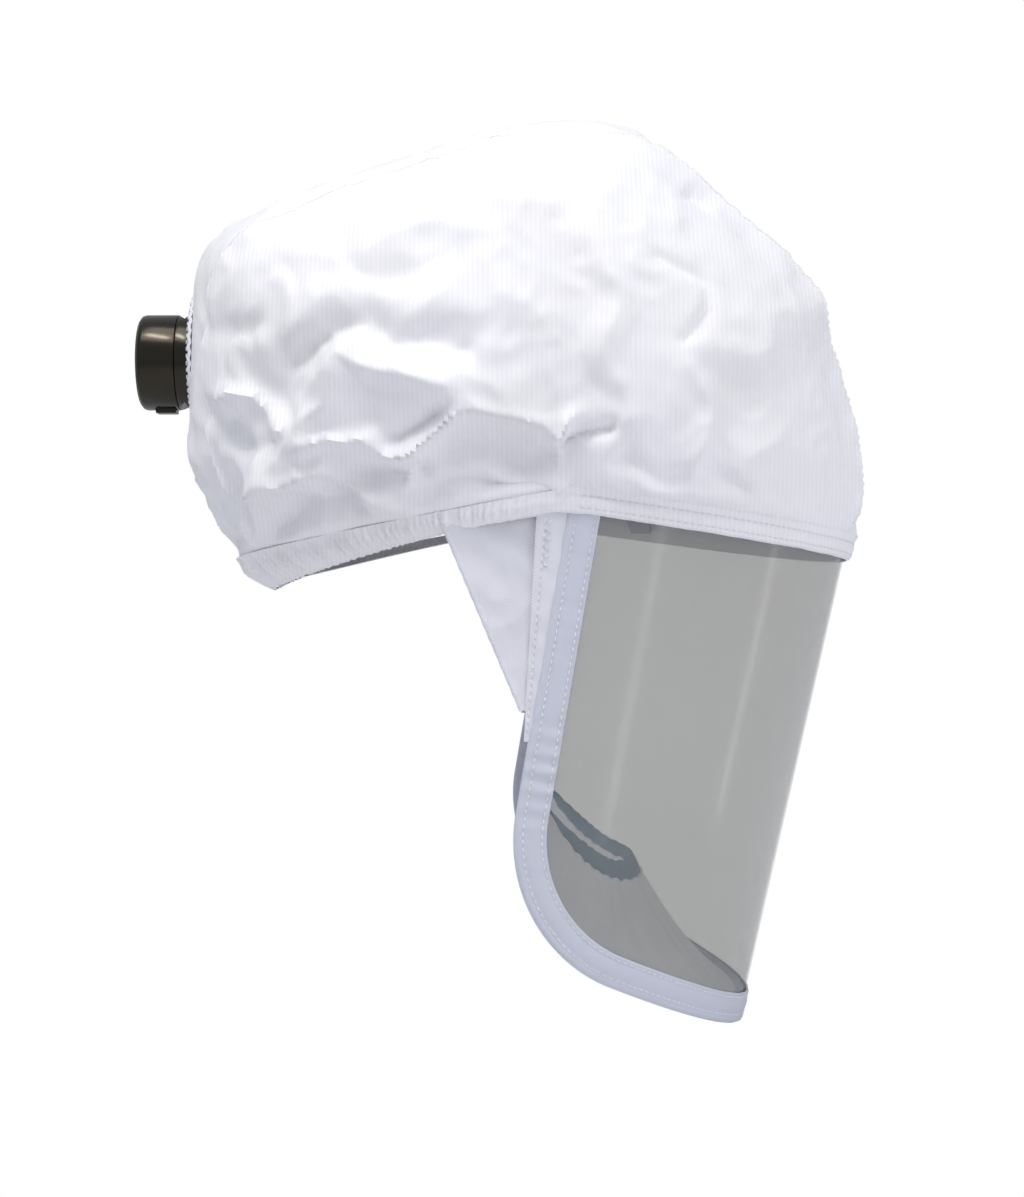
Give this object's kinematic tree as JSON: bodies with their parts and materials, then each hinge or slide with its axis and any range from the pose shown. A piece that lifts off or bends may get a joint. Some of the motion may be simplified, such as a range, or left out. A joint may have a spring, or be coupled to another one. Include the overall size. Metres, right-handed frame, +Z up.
{
  "type": "powered air respirator head cover",
  "caption": "Soft white respirator hood with a curved clear face lens, a head suspension with a ratchet, an overhead air duct and a swivelling air inlet at the back.",
  "frame": {"origin": "centre of the headband, level with its middle", "axes": "+X the wearer's forward, +Y the wearer's left, +Z up as worn"},
  "size_m": [0.3293, 0.2484, 0.4037],
  "materials": {
    "crown_fabric": "matte ribbed non-woven",
    "smooth_fabric": "smooth coated cloth",
    "binding_tape": "woven tape",
    "seal_fabric": "light pleated cloth",
    "teal_elastic": "knitted elastic",
    "white_elastic": "knitted elastic",
    "clear_sheet": "clear glossy sheet",
    "black_plastic": "glossy",
    "dark_grey_plastic": "satin",
    "grey_plastic": "satin",
    "black_rubber": "matte",
    "black_foam": "soft matte",
    "spring_steel": "bright"
  },
  "bodies": {
    "hood": {"side_panel_left": "crown_fabric", "side_panel_right": "crown_fabric", "front_panel": "crown_fabric", "crown_panel": "crown_fabric", "brow_hem": "crown_fabric", "rear_hem": "crown_fabric", "rear_elastic": "white_elastic", "cheek_panel_left": "smooth_fabric", "cheek_panel_right": "smooth_fabric", "side_strip_left": "smooth_fabric", "side_strip_right": "smooth_fabric", "inlet_patch": "smooth_fabric", "lens": "clear_sheet", "lens_binding": "binding_tape", "visor_frame": "grey_plastic", "frame_arm_left": "grey_plastic", "frame_arm_right": "grey_plastic", "face_seal": "seal_fabric", "face_seal_elastic": "teal_elastic", "inlet_body": "black_plastic", "inlet_gasket": "black_rubber", "inlet_nut": "dark_grey_plastic", "o_ring": "black_rubber", "retaining_ring": "spring_steel", "duct_tray": "dark_grey_plastic", "duct_lid": "dark_grey_plastic", "duct_end_cap": "dark_grey_plastic", "headband_front": "grey_plastic", "brow_pad": "black_foam", "strap_fore_aft": "white_elastic", "strap_cross": "white_elastic", "strap_stud_front": "dark_grey_plastic", "strap_stud_rear": "dark_grey_plastic", "strap_stud_left": "dark_grey_plastic", "strap_stud_right": "dark_grey_plastic"},
    "collar": {"swivel_collar": "black_plastic", "button_spring": "spring_steel"},
    "button": {"release_button": "black_plastic"},
    "cradle": {"rear_cradle": "grey_plastic", "nape_pad": "black_foam", "ratchet_cover": "dark_grey_plastic"},
    "rack_left": {"rack_left": "grey_plastic"},
    "rack_right": {"rack_right": "grey_plastic"},
    "knob": {"pinion": "black_plastic", "ratchet_knob": "black_plastic", "knob_screw": "spring_steel"}
  },
  "joints": [
    {"name": "collar_swivel", "type": "hinge", "parent": "hood", "child": "collar", "pos_m": [-0.14, 0, 0.055], "axis": [-1, 0, 0], "continuous": true},
    {"name": "release_button_press", "type": "slide", "parent": "collar", "child": "button", "axis": [0, 0, 1], "range_m": [0, 0.001], "stiffness_N_per_m": 500, "springref_m": -0.001, "deforming": ["button_spring"]},
    {"name": "cradle_slide", "type": "slide", "parent": "hood", "child": "cradle", "axis": [1, 0, 0], "range_m": [0, 0.022]},
    {"name": "rack_left_slide", "type": "slide", "parent": "cradle", "child": "rack_left", "axis": [0, -1, 0], "range_m": [0, 0.022]},
    {"name": "rack_right_slide", "type": "slide", "parent": "cradle", "child": "rack_right", "axis": [0, 1, 0], "range_m": [0, 0.022]},
    {"name": "knob_turn", "type": "hinge", "parent": "cradle", "child": "knob", "pos_m": [-0.101, 0, 0], "axis": [1, 0, 0], "range_deg": [0, 210.1]}
  ],
  "couplings": [
    {"joint": "rack_left_slide", "follows": "cradle_slide", "ratio": 1},
    {"joint": "rack_right_slide", "follows": "cradle_slide", "ratio": 1},
    {"joint": "knob_turn", "follows": "cradle_slide", "rad_per_m": 166.67}
  ]
}
